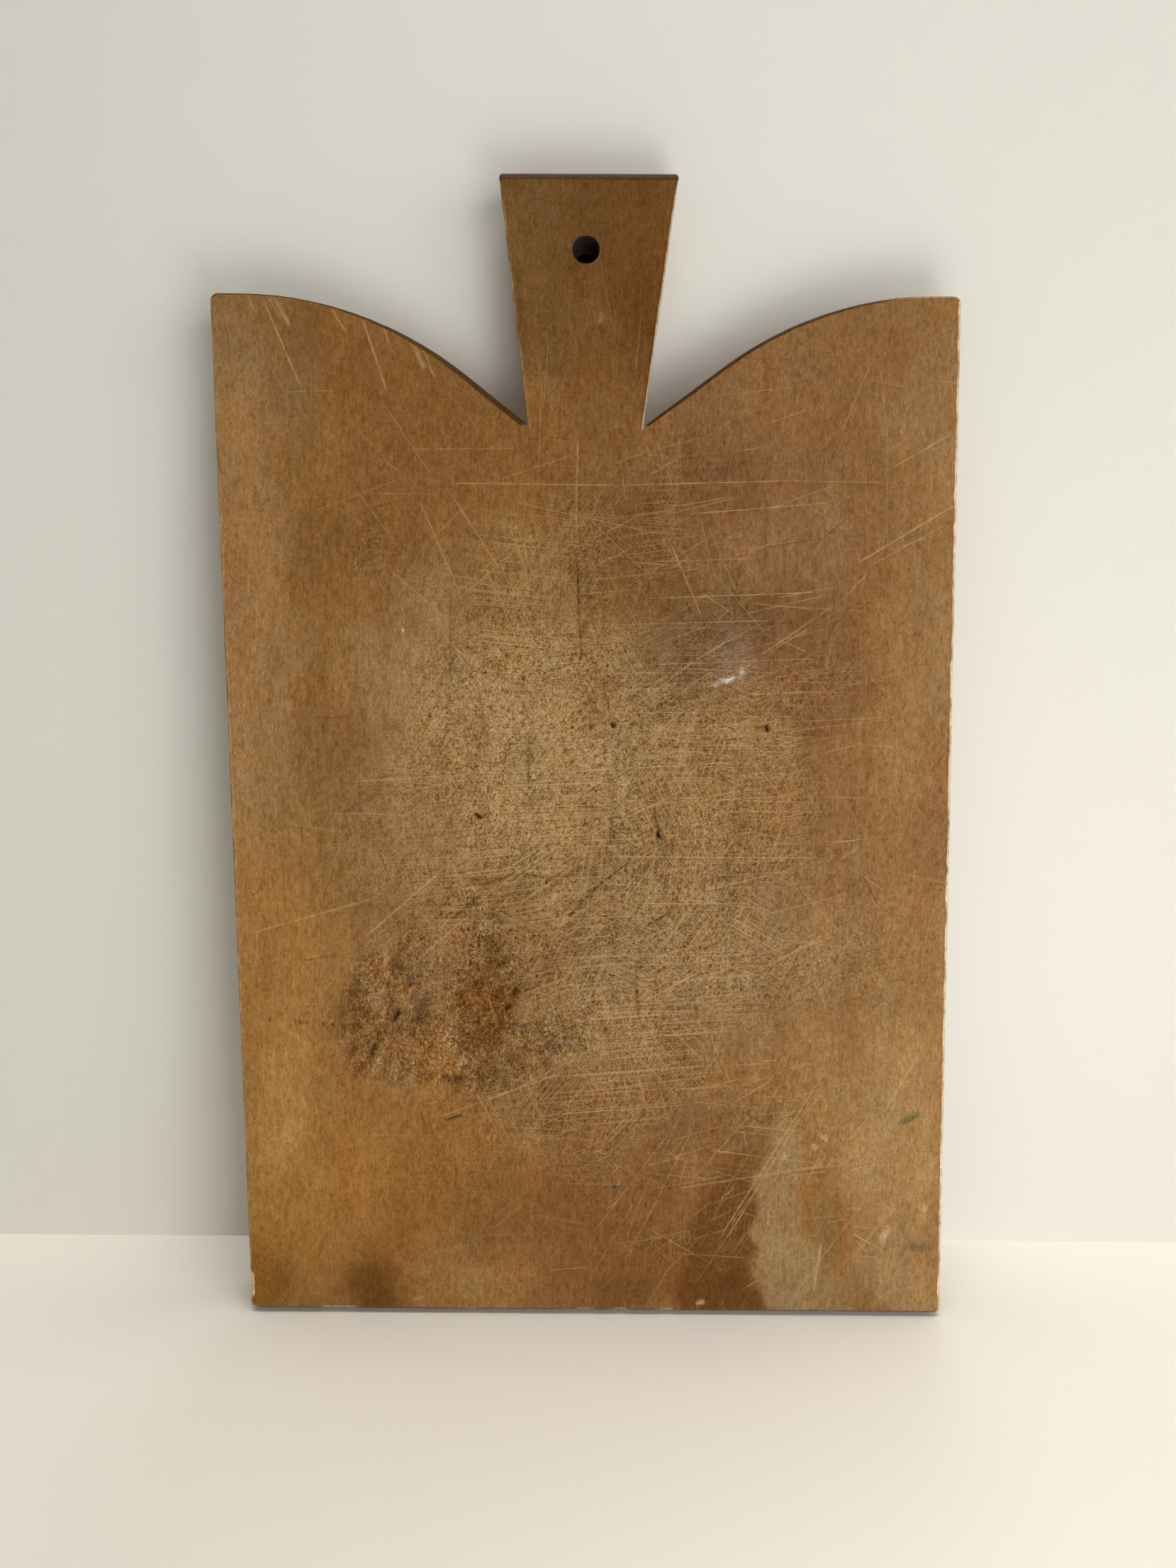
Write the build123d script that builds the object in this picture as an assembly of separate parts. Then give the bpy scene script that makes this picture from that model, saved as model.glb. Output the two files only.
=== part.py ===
from build123d import *
from math import cos, radians, tan
import os

# A handled wooden cutting board: one plank, sawn to a rectangular body with two curved
# shoulders and a flared handle, and drilled through the handle so that it can be hung up.
# It stands upright on its bottom edge. X runs across the board, Y through its thickness
# and Z up to the handle. The origin is on the bottom edge, in the middle of the thickness.

# Body. The two sides are parallel, but the ends were sawn a little out of square to them.
body_width = 300.0
body_height = 427.0
thickness = 20.0
side_lean = 6.4  # how far left of its foot each side ends at the shoulder

# Handle. Distances to its left and right are from the board's leaning centreline.
handle_rise = 47.0  # from the shoulder tops up to the handle's end
handle_end_left = 34.0
handle_end_right = 37.8

# Shoulders. Each runs level from the side, bends down in an arc, and then falls in a straight
# line to the notch beside the handle. The slope is where the arc hands over to the line.
shoulder_level = 11.0
left_slope = radians(38.5)
left_notch = (23.9, 50.3)  # distance from the centreline, depth below the shoulder top
right_slope = radians(36.0)
right_notch = (22.9, 51.2)

# Hanging hole.
hole_radius = 5.0
hole_height = 444.0
hole_offset = 0.5  # to the right of the centreline

# Corners and edges, eased by hand.
body_corner_radius = 3.0
foot_corner_radius = 2.0
handle_corner_radius = 1.5
edge_ease = 1.0
handle_end_bevel = 3.5  # on the front only


def at(across, height):
    """The point this far right of the leaning centreline and this high above the bottom edge."""
    return (across + side_lean * (0.5 - height / body_height), height)


def shoulder(side, notch, slope):
    """The outline from a body corner to the notch; side is -1 for the left and 1 for the right."""
    notch_across, notch_depth = notch
    arc_start = body_width / 2 - shoulder_level
    run = arc_start - notch_across
    radius = (run * tan(slope) - notch_depth) / (1 / cos(slope) - 1)
    half_angle_rise = radius * (1 - cos(slope))
    arc_end = notch_across + (notch_depth - half_angle_rise) / tan(slope)
    corner = at(side * body_width / 2, body_height)
    level_end = at(side * arc_start, body_height)
    line_start = at(side * arc_end, body_height - half_angle_rise)
    notch_point = at(side * notch_across, body_height - notch_depth)
    return [
        Line(corner, level_end),
        RadiusArc(level_end, line_start, -side * radius),
        Line(line_start, notch_point),
    ]


def board_face():
    """The board's outline as a flat face, before its corners are eased."""
    left = shoulder(-1, left_notch, left_slope)
    right = shoulder(1, right_notch, right_slope)
    foot_left = at(-body_width / 2, 0)
    foot_right = at(body_width / 2, 0)
    end_height = body_height + handle_rise
    end_left = at(-handle_end_left, end_height)
    end_right = at(handle_end_right, end_height)
    handle = Polyline(left[-1] @ 1, end_left, end_right, right[-1] @ 1)
    body = Polyline(left[0] @ 0, foot_left, foot_right, right[0] @ 0)
    return make_face(left + right + [handle, body])


def eased(face):
    """The face with its body, foot and handle corners rounded."""
    corners = face.vertices().sort_by(Axis.Y)
    face = fillet(corners[:2], foot_corner_radius)
    side_corners = face.vertices().filter_by(lambda v: abs(v.Y - body_height) < edge_ease)
    outer_corners = side_corners.sort_by(lambda v: -abs(v.X))[:2]
    face = fillet(outer_corners, body_corner_radius)
    handle_corners = face.vertices().sort_by(Axis.Y)[-2:]
    return fillet(handle_corners, handle_corner_radius)


def end_bevel():
    """The wedge that the bevel takes off the front of the handle's end."""
    front = -thickness / 2
    end_height = body_height + handle_rise
    section = Polyline(
        (front, end_height - handle_end_bevel),
        (front + handle_end_bevel, end_height),
        (front, end_height),
        close=True,
    )
    return extrude(Plane.YZ * make_face(section), amount=body_width / 2, both=True)


def make_plank():
    """The whole board, grain running up it, from one piece of wood."""
    outline = eased(board_face())
    plank = extrude(Plane.XZ * outline, amount=thickness / 2, both=True)
    plank -= end_bevel()
    front = plank.faces().sort_by(Axis.Y)[0]
    back = plank.faces().sort_by(Axis.Y)[-1]
    plank = chamfer(front.edges() + back.edges(), edge_ease)
    hole_x, hole_z = at(hole_offset, hole_height)
    hole = Cylinder(hole_radius, 2 * thickness, rotation=(90, 0, 0))
    return plank - Pos(hole_x, 0, hole_z) * hole


os.makedirs("parts", exist_ok=True)
export_step(make_plank(), "parts/plank.step")
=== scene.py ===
import functools
import math
from collections import namedtuple

import bmesh
import bpy
import numpy as np
from mathutils import Matrix, Vector
from mathutils.geometry import delaunay_2d_cdt


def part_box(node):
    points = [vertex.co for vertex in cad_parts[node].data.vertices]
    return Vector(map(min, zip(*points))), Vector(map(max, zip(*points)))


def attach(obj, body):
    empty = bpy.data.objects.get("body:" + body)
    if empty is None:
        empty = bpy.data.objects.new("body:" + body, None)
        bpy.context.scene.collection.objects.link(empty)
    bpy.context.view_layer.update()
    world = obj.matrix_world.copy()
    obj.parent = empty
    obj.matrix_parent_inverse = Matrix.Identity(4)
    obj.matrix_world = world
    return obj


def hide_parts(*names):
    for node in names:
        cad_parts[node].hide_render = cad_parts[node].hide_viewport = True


# An old handled cutting board: one plank, hollowed, scored and stained by years of knives.
# Sizes are in millimetres until the mesh is made. Points on the board are (x, z): x across it,
# z up it. The front is the cutting face, towards -Y.

MM = 0.001
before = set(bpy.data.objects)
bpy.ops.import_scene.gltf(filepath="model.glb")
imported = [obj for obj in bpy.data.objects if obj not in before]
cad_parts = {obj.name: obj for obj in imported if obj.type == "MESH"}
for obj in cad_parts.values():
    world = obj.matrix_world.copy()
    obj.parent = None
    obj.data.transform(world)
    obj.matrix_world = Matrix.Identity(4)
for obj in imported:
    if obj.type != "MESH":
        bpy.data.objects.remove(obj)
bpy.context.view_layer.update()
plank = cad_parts["plank"]
low, high = (np.array(corner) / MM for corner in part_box("plank"))
TOP = high[2]
HALF_THICKNESS = high[1]


# ---------------- noise and small helpers

LATTICE = 256


def noise(points, size, seed):
    """Smooth noise from -1 to 1 at each point; size is one feature's width, or its (width, height)."""
    lattice = np.random.default_rng(seed).uniform(-1, 1, (LATTICE, LATTICE))
    place = points / np.asarray(size, float)
    cell = np.floor(place).astype(int)
    part = place - cell
    part = part * part * (3 - 2 * part)
    i, j = cell[:, 0] % LATTICE, cell[:, 1] % LATTICE
    i_next, j_next = (i + 1) % LATTICE, (j + 1) % LATTICE
    below = lattice[i, j] * (1 - part[:, 0]) + lattice[i_next, j] * part[:, 0]
    above = lattice[i, j_next] * (1 - part[:, 0]) + lattice[i_next, j_next] * part[:, 0]
    return below * (1 - part[:, 1]) + above * part[:, 1]


def rough_noise(points, size, seed, octaves=3, fade=0.5):
    """Noise with finer noise added to it, each layer half the size and fade times as strong as the last."""
    size = np.asarray(size, float)
    layers = [noise(points, size / 2**k, seed + k) * fade**k for k in range(octaves)]
    return sum(layers) / 1.5


def step_up(value, low, high):
    """0 below low, 1 above high, and a smooth rise between."""
    t = np.clip((value - low) / (high - low), 0, 1)
    return t * t * (3 - 2 * t)


def turned(points, degrees):
    """The points in axes turned this far to the left."""
    angle = math.radians(degrees)
    across = points[:, 0] * math.cos(angle) + points[:, 1] * math.sin(angle)
    along = points[:, 1] * math.cos(angle) - points[:, 0] * math.sin(angle)
    return np.stack([across, along], axis=1)


def oval(points, x, z, half_width, half_height, tilt=0.0):
    """Distance of each point from an oval's centre: 1 on its rim. Tilt, in degrees, leans its top left."""
    across, along = turned(points - (x, z), tilt).T
    return np.hypot(across / half_width, along / half_height)


def wander(points, size, seed_x, seed_z, octaves):
    """A smooth random shift for each point."""
    return np.stack([rough_noise(points, size, seed, octaves) for seed in (seed_x, seed_z)], axis=1)


# ---------------- the outline, from the frame


SAME_PLACE = 1e-6  # metres; points closer than this are one


def cross_section(node):
    """A CAD node's outlines at mid-thickness, as arrays of (x, z), the longest first."""
    bm = bmesh.new()
    bm.from_mesh(node.data)
    bmesh.ops.remove_doubles(bm, verts=bm.verts, dist=SAME_PLACE)
    everything = bm.verts[:] + bm.edges[:] + bm.faces[:]
    cut = bmesh.ops.bisect_plane(bm, geom=everything, plane_co=(0, 0, 0), plane_no=(0, 1, 0))
    edges = {e for e in cut["geom_cut"] if isinstance(e, bmesh.types.BMEdge)}
    loops = []
    while edges:
        edge = edges.pop()
        first, vert = edge.verts
        loop = [first]
        while vert is not first:
            loop.append(vert)
            edge = next(e for e in vert.link_edges if e in edges)
            edges.discard(edge)
            vert = edge.other_vert(vert)
        loops.append(np.array([(v.co.x / MM, v.co.z / MM) for v in loop]))
    bm.free()
    return sorted((in_order(loop) for loop in loops), key=len_of, reverse=True)


def len_of(loop):
    """The length around a loop."""
    return np.linalg.norm(np.roll(loop, -1, axis=0) - loop, axis=1).sum()


SLANT = 0.3  # how much being further left counts, against being lower


def in_order(loop):
    """The loop counter-clockwise, from its point that lies furthest down and to the left."""
    following = np.roll(loop, -1, axis=0)
    area = (loop[:, 0] * following[:, 1] - following[:, 0] * loop[:, 1]).sum()
    loop = loop if area > 0 else loop[::-1]
    return np.roll(loop, -np.argmin(loop @ (SLANT, 1.0)), axis=0)


def resampled(loop, step):
    """The loop with its own points kept and more put between them, no further apart than step."""
    pieces = []
    for start, end in zip(loop, np.roll(loop, -1, axis=0)):
        count = max(1, math.ceil(np.linalg.norm(end - start) / step))
        pieces.append(start + (end - start) * np.arange(count)[:, None] / count)
    return np.concatenate(pieces)


SHARPEST = 0.4  # an offset at a sharp corner runs at most 1 / SHARPEST times as far


def outward(loop):
    """At each point of a loop, the step that moves both of its sides outward by one."""
    forward = np.roll(loop, -1, axis=0) - loop
    forward /= np.linalg.norm(forward, axis=1)[:, None]
    normal = np.stack([forward[:, 1], -forward[:, 0]], axis=1)
    mean = normal + np.roll(normal, 1, axis=0)
    mean /= np.linalg.norm(mean, axis=1)[:, None]
    cosine = np.maximum((mean * normal).sum(axis=1), SHARPEST)
    return mean / cosine[:, None]


def inside(points, loop):
    """Whether each point is inside the loop."""
    start, end = loop, np.roll(loop, -1, axis=0)
    found = np.zeros(len(points), bool)
    for a, b in zip(start, end):
        spans = (a[1] > points[:, 1]) != (b[1] > points[:, 1])
        rise = b[1] - a[1] if b[1] != a[1] else 1.0
        found ^= spans & (points[:, 0] < a[0] + (b[0] - a[0]) * (points[:, 1] - a[1]) / rise)
    return found


# ---------------- knife cuts

# From (x0, z0) to (x1, z1). Paleness is 1 for a fresh cut down to -1 for a dirty one; past -1 it is a hole.
Cut = namedtuple("Cut", "x0 z0 x1 z1 pale width depth", defaults=(0.4, 0.1))

# Cuts seen one by one.
SINGLE_CUTS = [Cut(*row) for row in (
    # long pale ones right across the face, nearly level
    (-60, 353, 12, 352.5, 0.8, 0.45, 0.12),
    (12, 352.5, 78, 354.5, 0.9, 0.45, 0.12),
    (38, 341, 98, 346, 0.8),
    (25, 322, 66, 323.5, 0.7),
    (20, 307, 94, 310, 0.8),
    (0, 296, 75, 298.5, 0.7),
    (20, 280, 95, 283, 0.7),
    (65, 268, 95, 269.5, 0.9, 0.45, 0.12),
    (40, 255, 125, 259, 0.7),
    (-100, 231, -48, 234.5, 0.9, 0.5, 0.14),
    (-22, 235, 60, 240, 1.0, 0.5, 0.14),
    (-110, 218, -72, 217, 0.6),
    (30, 223, 85, 226, 0.7),
    (2, 200, 100, 200, 0.9, 0.5, 0.12),
    (-90, 199, -40, 199.5, 0.5),
    (5, 180, 70, 180.5, 0.9, 0.45, 0.12),
    (-20, 157, 62, 158, 0.8),
    (0, 133, 45, 134, 0.8, 0.5, 0.12),
    # slanting pale ones
    (-145, 166, -90, 182, 1.0, 0.6, 0.16),
    (107, 321, 151, 347.5, 1.0, 0.6, 0.2),
    (112, 320, 145, 338, 0.8, 0.4, 0.12),
    (120, 359, 151, 377, 0.9, 0.5, 0.15),
    (136, 366, 150, 373, 0.6, 0.4, 0.12),
    (128, 352, 150, 361, 0.4, 0.35),
    (115, 400, 119, 372, 0.5),
    (118.5, 376, 120, 330, 0.45),
    (74, 354.5, 120, 354, 0.5),
    (-95, 165, -62, 194, 0.9, 0.6, 0.14),
    (-75, 153, -50, 176, 0.8, 0.5, 0.14),
    (-58, 350, -28, 304, 0.7, 0.4, 0.12),
    (30, 334, 46, 298, 0.8, 0.5, 0.14),
    (68, 283, 101, 306, 0.8, 0.5, 0.14),
    (72, 285, 112, 309, 0.6, 0.4, 0.12),
    (25, 265, 52, 278, 0.7, 0.4, 0.12),
    (-6, 372, -6.5, 330, 0.7, 0.5, 0.14),
    (-20.5, 392, -22, 350, 0.4),
    (-17.5, 412, -20, 380, 0.4, 0.35),
    (17, 395, 19, 418, 0.4, 0.35),
    (22, 137, 48, 152, 0.9, 0.6, 0.16),
    (60, 146, 110, 173, 0.6, 0.4, 0.12),
    (-40, 95, 8, 120, 0.6),
    (-66, 86, -8, 108, 0.8, 0.45, 0.12),
    (-25, 87, 30, 92, 0.6),
    # the sheaf that fans out over the lower right
    (55, 30, 104, 114, 0.8, 0.5, 0.16),
    (60, 33, 92, 90, 0.7, 0.4, 0.12),
    (15, 20, 46, 85, 0.6, 0.5, 0.16),
    (2, 35, 40, 88, 0.5, 0.45, 0.12),
    (35, 55, 105, 67, 0.7, 0.5, 0.14),
    (50, 73, 100, 67, 0.7, 0.5, 0.14),
    (125, 88, 141, 117, 0.9, 0.6, 0.16),
    (80, 75, 108, 108, 0.8, 0.4, 0.12),
    (88, 5, 122, 55, 0.6, 0.4, 0.12),
    (98, 8, 101, 32, 0.9, 0.8, 0.2),
    (114, 36, 128, 28, 0.9, 0.6, 0.2),
    (66, 30, 92, 19, 0.6),
    (88, 45, 110, 95, 0.5, 0.35),
    (70, 92, 125, 107, 0.6, 0.4, 0.12),
    (18, 40, 40, 90, 0.5, 0.35),
    (0, 12, 20, 50, 0.5, 0.35),
    (25, 38, 60, 18, 0.6),
    (45, 60, 72, 92, 0.6),
    # scrapes on the shoulders
    (-138.5, 427, -134.5, 419, 0.7, 0.6, 0.12),
    (-132, 425, -117, 389.5, 0.7, 0.7, 0.14),
    (-128.5, 427, -121, 414, 0.8, 1.6, 0.16),
    (-130, 426, -125, 417, 0.6, 0.8, 0.14),
    (-104.5, 421, -99, 412, 0.7, 0.8, 0.14),
    (-92.5, 418, -82.5, 388, 0.9, 0.8, 0.14),
    (-84.5, 415, -80, 403.5, 0.6, 0.9, 0.14),
    (-73.5, 410, -67, 397.5, 0.6, 1.8, 0.16),
    (-69, 408, -63.5, 394, 0.6, 1.0, 0.14),
    (-84, 384, -61, 350, 0.6),
    (-96, 350.5, -81, 330, 0.6, 0.5, 0.12),
    (-124, 388.5, -102, 389.5, 0.5),
    (-95, 349, -63, 348.5, 0.5),
    (10, 362, 45, 372, 0.5),
    # dark, dirt-filled cuts and cracks
    (-6, 322, -5.5, 300, -0.85, 0.6, 0.5),
    (-5.5, 300, -4, 283, -0.7, 0.4, 0.3),
    (71, 345, 70, 318, -0.6, 0.4, 0.2),
    (60, 322, 58, 300, -0.6, 0.4, 0.2),
    (9, 220, 8, 204, -0.8, 0.5, 0.4),
    (26, 222, 29, 207, -0.8, 0.5, 0.5),
    (4, 275, 9, 254, -0.6, 0.4, 0.3),
    (-26, 249, -26, 227, -0.75, 0.45, 0.3),
    (-58, 310, -58, 270, -0.65, 0.4, 0.2),
    (19, 152, 21, 130, -0.8, 0.5, 0.4),
    (24, 171, 35, 177, -0.8, 0.7, 0.5),
    (16, 198, 7, 190.5, -0.9, 0.7, 0.5),
    (7, 190.5, -1, 184, -0.85, 0.6, 0.4),
    (-1, 184, -9, 174, -0.85, 0.6, 0.4),
    (25, 229, 26, 222, -0.6, 0.4, 0.3),
    (29, 207, 32, 198, -0.6, 0.4, 0.3),
    (-48, 187, -30, 193, -0.8, 0.6, 0.3),
    (-30, 193, -14, 190, -0.8, 0.6, 0.3),
    (-60, 171, -44, 186, -0.75, 0.6, 0.3),
    (-62, 85, -54, 88, -0.9, 0.9, 0.5),
    (37, 104, 41, 106, -0.8, 1.0, 0.6),
    # slots and holes
    (-49, 218.5, -45.5, 215.5, -2.0, 1.3, 1.3),
    (27.6, 211, 28.6, 208, -2.0, 1.4, 2.2),
    (72, 256, 73.5, 252.5, -2.0, 1.6, 1.4),
    (8.5, 256.5, 9.5, 254, -2.0, 1.3, 1.0),
    (-33.5, 139.5, -31, 143.5, -0.85, 1.5, 1.2),
    (-36, 133, -34.5, 136, -0.8, 1.4, 1.0),
    (-50, 142.5, -47.5, 146.5, -0.8, 1.8, 1.2),
    (-84, 128, -80.5, 133, -0.7, 1.5, 0.9),
    (-94, 113.5, -91.5, 118.5, -0.7, 1.4, 0.7),
)]

# A row of small worm holes or nail pricks at the left, falling a little to the right.
PRICKS_X = (-137, -126, -124, -121, -114, -110, -106, -105)
SINGLE_CUTS += [
    Cut(x, 128 - 0.1 * (x + 126), x + 1.5, 128.8 - 0.1 * (x + 126), -0.9, 1.2, 0.5) for x in PRICKS_X
]

# Crowds of cuts: how many, where (x, z), spread (x, z), direction and its spread in degrees,
# shortest and longest, and how pale.
Crowd = namedtuple("Crowd", "count x z spread_x spread_z angle angle_spread short long pale")
CROWDS = [Crowd(*row) for row in (
    (110, 40, 255, 50, 60, 4, 10, 8, 50, 0.7),
    (60, 45, 290, 35, 35, 28, 8, 10, 45, 0.6),
    (90, 75, 65, 38, 40, 55, 16, 6, 40, 0.5),
    (40, -25, 290, 45, 50, -50, 14, 10, 45, 0.6),
    (80, 35, 75, 45, 30, 12, 16, 8, 40, 0.5),
    (50, 15, 180, 50, 60, 35, 30, 6, 25, 0.5),
    (60, 20, 160, 50, 60, -55, 20, 4, 16, -0.7),
    (50, 0, 210, 60, 90, 88, 8, 6, 22, -0.6),
    (40, -50, 140, 25, 30, 60, 25, 3, 9, -0.8),
    (30, 30, 240, 80, 110, 10, 60, 10, 50, 0.5),
    (70, 38, 305, 30, 34, 6, 25, 6, 26, -0.7),
    (40, -60, 300, 30, 30, 40, 40, 6, 22, -0.5),
    (40, 30, 215, 50, 40, 30, 50, 4, 16, -0.7),
    (50, 40, 65, 55, 35, 60, 30, 4, 20, -0.5),
    (120, 95, 65, 35, 45, 60, 45, 2, 9, 0.7),
    (70, 50, 60, 60, 35, 40, 60, 2, 8, -0.6),
    (60, 20, 235, 60, 75, 5, 14, 15, 70, 0.5),
    (40, 30, 210, 60, 75, 42, 22, 12, 50, 0.45),
    (36, 15, 220, 60, 75, -45, 25, 12, 45, 0.4),
    (80, 0, 190, 70, 80, 82, 12, 5, 20, -0.6),
    (150, 10, 215, 70, 80, 20, 60, 3, 16, -0.8),
    (160, -60, 133, 30, 26, 45, 50, 1.5, 6, 1.0),
    (70, 55, 215, 30, 40, 30, 50, 5, 20, 0.6),
    (60, 55, 215, 30, 40, -40, 40, 5, 18, -0.7),
)]


def crowd_cuts(crowds, seed):
    """Cuts scattered as each crowd says."""
    rng = np.random.default_rng(seed)
    cuts = []
    for crowd in crowds:
        for _ in range(crowd.count):
            x = rng.normal(crowd.x, crowd.spread_x)
            z = rng.normal(crowd.z, crowd.spread_z)
            angle = math.radians(rng.normal(crowd.angle, crowd.angle_spread))
            half = rng.uniform(crowd.short, crowd.long) / 2
            dx, dz = half * math.cos(angle), half * math.sin(angle)
            width = rng.uniform(0.35, 0.7)
            depth = rng.uniform(0.05, 0.16)
            pale = crowd.pale * rng.uniform(0.3, 1.3)
            cuts.append(Cut(x - dx, z - dz, x + dx, z + dz, pale, width, depth))
    return cuts


def along_and_off(points, cut):
    """Each point's place along a cut, 0 to 1, and its distance from the cut's line."""
    start = np.array([cut.x0, cut.z0])
    run = np.array([cut.x1, cut.z1]) - start
    length = np.linalg.norm(run)
    place = (points - start) @ run / length**2
    off = np.abs((points - start) @ np.array([-run[1], run[0]])) / length
    return place, off


CUT_STEP = 1.5


def widened(cuts, times):
    return [cut._replace(width=cut.width * times) for cut in cuts]


def cut_lines(cut):
    """Three lines of points for one cut: a rim, the bottom and the other rim."""
    start, end = np.array([cut.x0, cut.z0]), np.array([cut.x1, cut.z1])
    length = np.linalg.norm(end - start)
    count = max(2, math.ceil(length / CUT_STEP))
    sideways = np.array([start[1] - end[1], end[0] - start[0]]) / length * cut.width / 2
    middle = start + (end - start) * np.linspace(0, 1, count + 1)[:, None]
    inner = middle[1:-1]
    return [inner - sideways, middle, inner + sideways]


# ---------------- the faces' shape

HOLLOW_DEPTH = 0.9
UNEVENNESS = 0.08  # of every surface
EATEN_LEAN = -28  # the direction of the pits and flakes where the wood is eaten away, in degrees
CUT_END = 0.12  # the share of a cut's length over which it runs out, at each end


def hollow(points):
    """How far the cutting face is worn down in the middle."""
    return HOLLOW_DEPTH * np.exp(-oval(points, -5, 215, 105, 140) ** 2)


def eroded(points):
    """From 0 to 1, how badly the face is eaten away, lower left of the middle."""
    patches = [
        oval(points, -42, 143, 24, 40, 0),
        oval(points, -84, 137, 20, 34, -25),
        oval(points, -62, 115, 45, 20, 0),
        oval(points, -15, 122, 26, 16, 0),
    ]
    nearest = np.min(patches, axis=0) + 0.5 * rough_noise(points, 14, 40, 4)
    return 1 - step_up(nearest, 0.45, 1.2)


def worn(points):
    """From 0 to 1, how scuffed and fuzzy the cutting face is."""
    middle = oval(points, 5, 205, 135, 195, 5) + 0.3 * rough_noise(points, 30, 100, 4)
    return 1 - step_up(middle, 0.2, 1.1)


Pit = namedtuple("Pit", "x z half_width half_height tilt strength")
PITS = [Pit(*row) for row in (
    (-82, 153, 3.5, 7, 30, 0.6),
    (-77, 147, 4, 3.5, 0, 0.6),
    (-82.5, 131, 2, 5, -40, 0.9),
    (-72, 132, 3.5, 6, -30, 0.9),
    (-75, 124, 1.3, 5, -25, 0.8),
    (-92.5, 117, 1.6, 6, -15, 0.8),
    (-88, 125, 1.2, 3, -30, 0.6),
    (-48, 145, 2.2, 4, -25, 1.0),
    (-37, 154, 1.5, 4.5, -35, 0.9),
    (-42, 162, 3, 4.5, -20, 0.6),
    (-32, 142, 1.8, 4, -35, 1.0),
    (-34.5, 135, 1.6, 3, -25, 1.0),
    (-31, 127.5, 3, 4, -30, 0.8),
    (-24, 155, 1.5, 2.5, -20, 0.7),
    (-14, 137, 0.8, 4, -5, 0.8),
    (-59, 104, 5, 2.5, -20, 0.7),
    (-37.5, 101, 1.5, 3, -20, 0.6),
    (-53, 118, 2, 5, -30, 0.5),
    (-20, 111, 3, 2, 0, 0.5),
    (-64, 150, 1.5, 5, -35, 0.5),
)]


def pits(points):
    """From 0 to 1: the ragged slanting pits where the wood is eaten away, large and small."""
    moved = points + 2.0 * wander(points, 5, 62, 66, 4)
    small = step_up(rough_noise(turned(points, EATEN_LEAN), (2.4, 4.5), 60, 3), 0.2, 0.8) * eroded(points)
    deepest = 0.32 * small
    for pit in PITS:
        distance = oval(moved, *pit[:5])
        deepest = np.maximum(deepest, pit.strength * (1 - step_up(distance, 0.45, 1.2)))
    return deepest


def front_relief(points, cuts):
    """How far each point of the cutting face lies below its first surface."""
    depth = hollow(points) + UNEVENNESS * rough_noise(points, (14, 40), 50)
    lumps = 0.22 * (1 + rough_noise(turned(points, EATEN_LEAN), (5, 9), 65, 3, 0.7)) * eroded(points)
    fuzz = 0.03 * (1 + noise(points, (1.6, 2.4), 68)) * worn(points)
    return depth + 0.2 * eroded(points) + pits(points) + lumps + fuzz + groove_depth(points, cuts)


def groove_depth(points, cuts):
    """How deep the cuts are at each point."""
    depth = np.zeros(len(points))
    for cut, near, place, off in around_cuts(points, cuts):
        profile = np.clip(1 - 2 * off / cut.width, 0, 1) * end_fade(place)
        depth[near] = np.maximum(depth[near], cut.depth * profile)
    return depth


def around_cuts(points, cuts, reach=0):
    """For each cut: itself, the indices of the points around it, and their places along it and off it."""
    for cut in cuts:
        pad = reach or cut.width
        x_low, x_high = sorted((cut.x0, cut.x1))
        z_low, z_high = sorted((cut.z0, cut.z1))
        fits = (points[:, 0] > x_low - pad) & (points[:, 0] < x_high + pad)
        fits &= (points[:, 1] > z_low - pad) & (points[:, 1] < z_high + pad)
        near = np.flatnonzero(fits)
        yield cut, near, *along_and_off(points[near], cut)


def end_fade(place):
    """A cut is full in its middle and runs out at its ends."""
    return step_up(place, 0, CUT_END) * step_up(1 - place, 0, CUT_END)


def cut_paleness(points, cuts):
    """From -1 to 1 at each point: how pale or dirty the cuts are, uneven along each cut."""
    pale = np.zeros(len(points))
    for cut, near, place, off in around_cuts(points, cuts):
        profile = cut.pale * np.clip(1.6 - 3.2 * off / cut.width, 0, 1) * end_fade(place)
        stronger = np.abs(profile) > np.abs(pale[near])
        pale[near[stronger]] = profile[stronger]
    unevenness = np.clip(0.8 + 0.5 * rough_noise(points, 6, 150, 3, 0.9), 0.15, 1.25)
    return np.clip(pale * unevenness, -1, 1)


BESIDE_CUT_REACH = 1.1


def darkened_beside(points, cuts):
    """From 0 to 1 at each point: the soft darkening that runs along a dirty cut."""
    darkening = np.zeros(len(points))
    dirty = [cut for cut in cuts if cut.pale < 0]
    for cut, near, place, off in around_cuts(points, dirty, 2 * BESIDE_CUT_REACH):
        profile = -cut.pale * np.exp(-((off / BESIDE_CUT_REACH) ** 2)) * end_fade(place)
        darkening[near] = np.maximum(darkening[near], profile)
    return np.clip(darkening, 0, 1)


# ---------------- the mesh

OUTLINE_STEP = 1.0
GRID_STEP = 1.2
ROW_STEP = 0.87  # of the grid's step, which makes its triangles nearly even
JITTER = 0.2  # of the grid's step
SAME_POINT = 1e-5  # millimetres; points closer than this are one
EASE_SHARES = (0, 0.08, 0.4, 0.75, 1)  # where the rings of an eased edge lie, from its face to its side
SIDE_RINGS = 12
SAW_MARK_DEPTH = 0.07


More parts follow.
